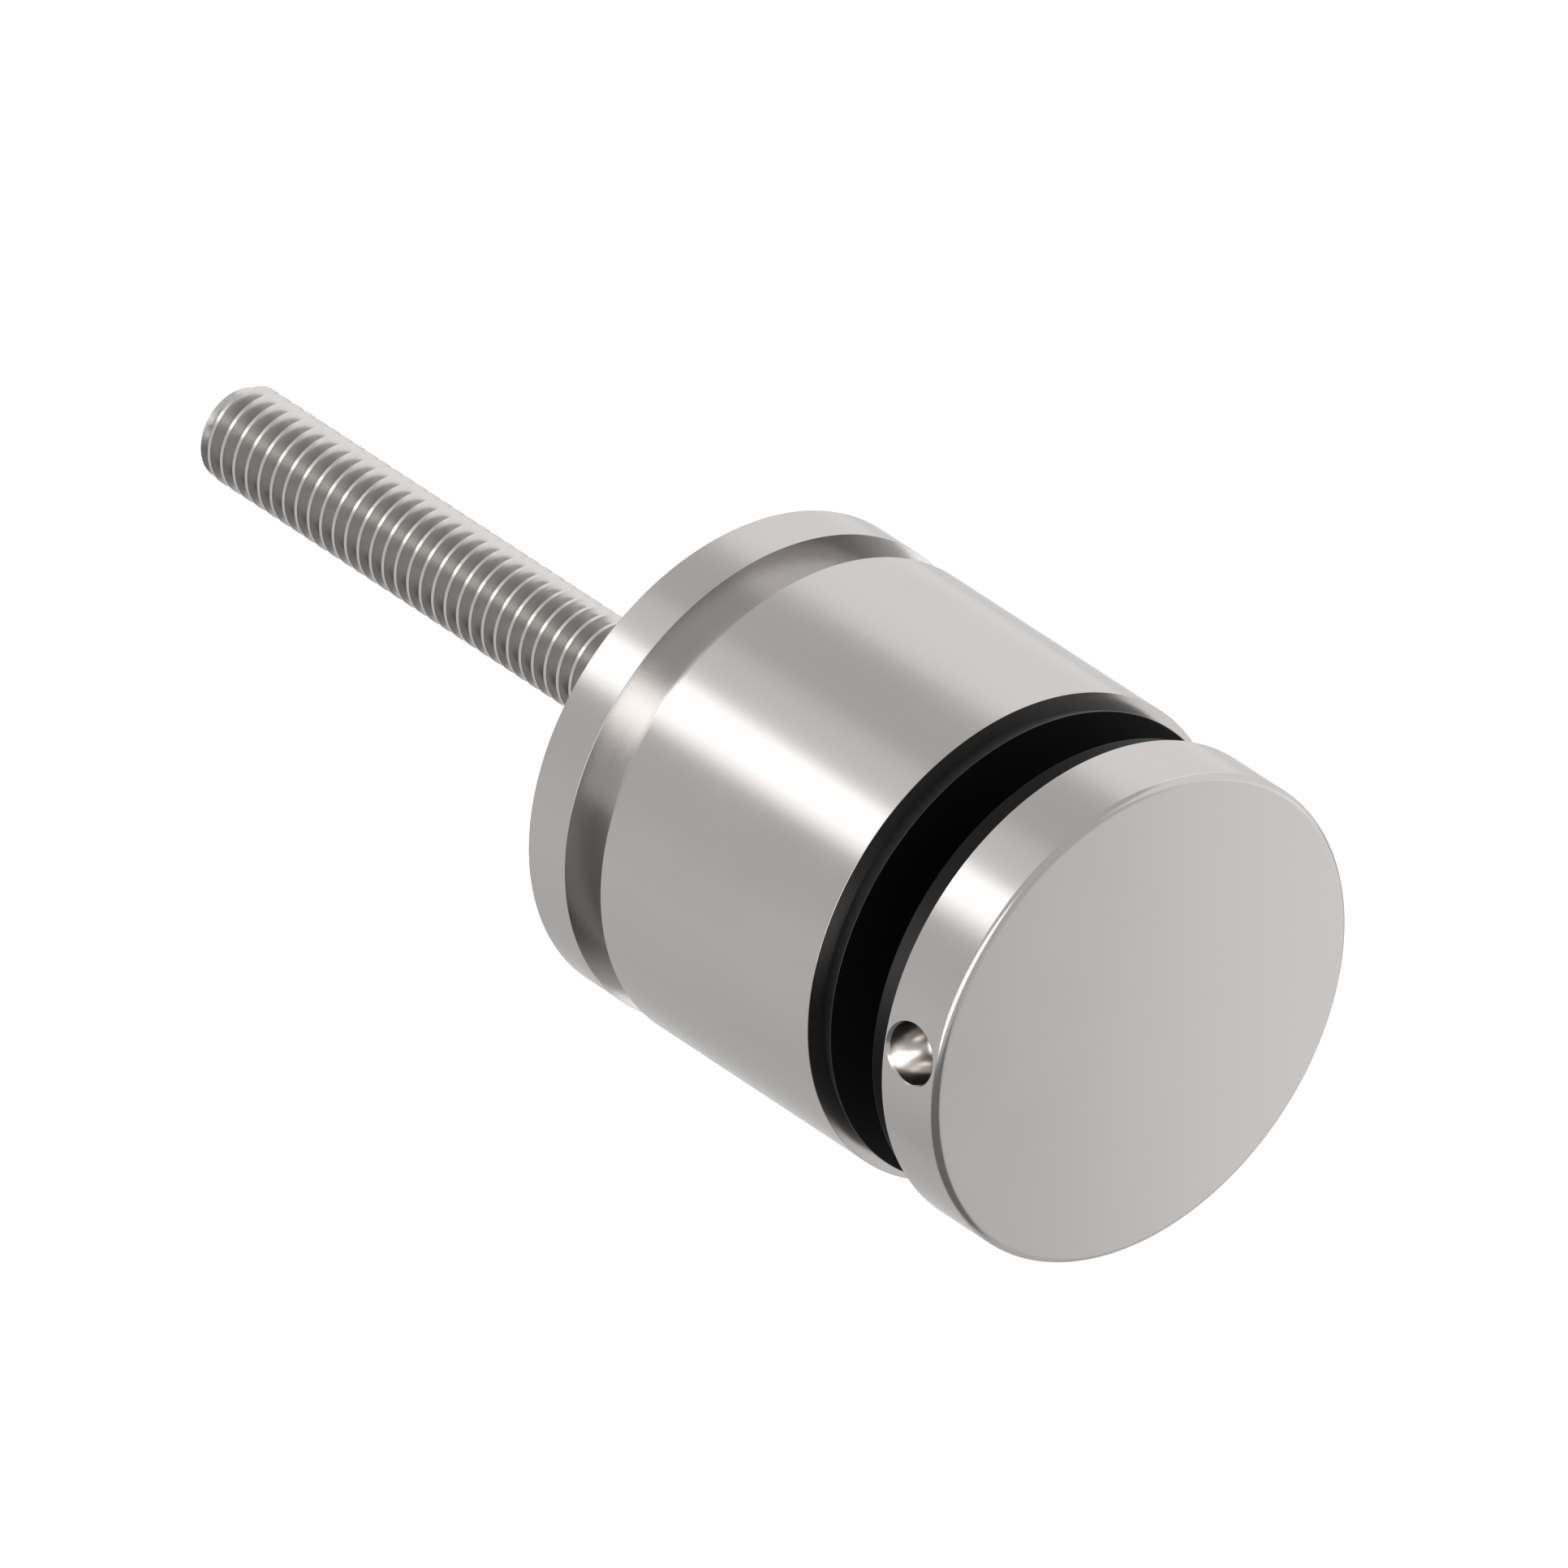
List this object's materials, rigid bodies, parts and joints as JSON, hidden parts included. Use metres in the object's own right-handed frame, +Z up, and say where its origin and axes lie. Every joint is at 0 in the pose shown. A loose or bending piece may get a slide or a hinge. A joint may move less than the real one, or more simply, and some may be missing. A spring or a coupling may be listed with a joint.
{
  "type": "glass panel standoff",
  "caption": "Round stainless point fixing that clamps a glass panel between two rubber gaskets, on a threaded wall stud, adjustable in depth.",
  "frame": {"origin": "centre of the base flange's back face, on the wall, where the stud leaves it", "axes": "+Y runs along the stud into the wall, -Y points out of the wall through the cap, +Z is up"},
  "size_m": [0.05, 0.1313, 0.05],
  "materials": {
    "stainless_steel": "satin turned stainless steel",
    "stud_steel": "rolled thread, plain stainless steel",
    "black_rubber": "matt black moulded rubber",
    "black_plastic": "matt black moulded plastic"
  },
  "bodies": {
    "base": {"base_flange": "stainless_steel", "wall_stud": "stud_steel"},
    "rear_seal": {"rear_gasket": "black_rubber", "glass_bush": "black_plastic"},
    "spacer": {"spacer_body": "stainless_steel"},
    "front_seal": {"front_gasket": "black_rubber"},
    "cap": {"cap": "stainless_steel", "clamp_stud": "stud_steel"}
  },
  "joints": [
    {"name": "spacer_travel", "type": "slide", "parent": "base", "child": "rear_seal", "axis": [0, -1, 0], "range_m": [-0.00505, 0.0075]},
    {"name": "spacer_turn", "type": "hinge", "parent": "rear_seal", "child": "spacer", "pos_m": [0, 0, 0], "axis": [0, -1, 0], "range_deg": [-1212, 1800]},
    {"name": "cap_travel", "type": "slide", "parent": "spacer", "child": "front_seal", "axis": [0, -1, 0], "range_m": [0, 0.009]},
    {"name": "cap_turn", "type": "hinge", "parent": "front_seal", "child": "cap", "pos_m": [0, 0, 0], "axis": [0, -1, 0], "range_deg": [0, 2160]}
  ],
  "couplings": [
    {"joint": "spacer_travel", "follows": "spacer_turn", "m_per_rad": 0.00023873},
    {"joint": "cap_travel", "follows": "cap_turn", "m_per_rad": 0.00023873}
  ]
}
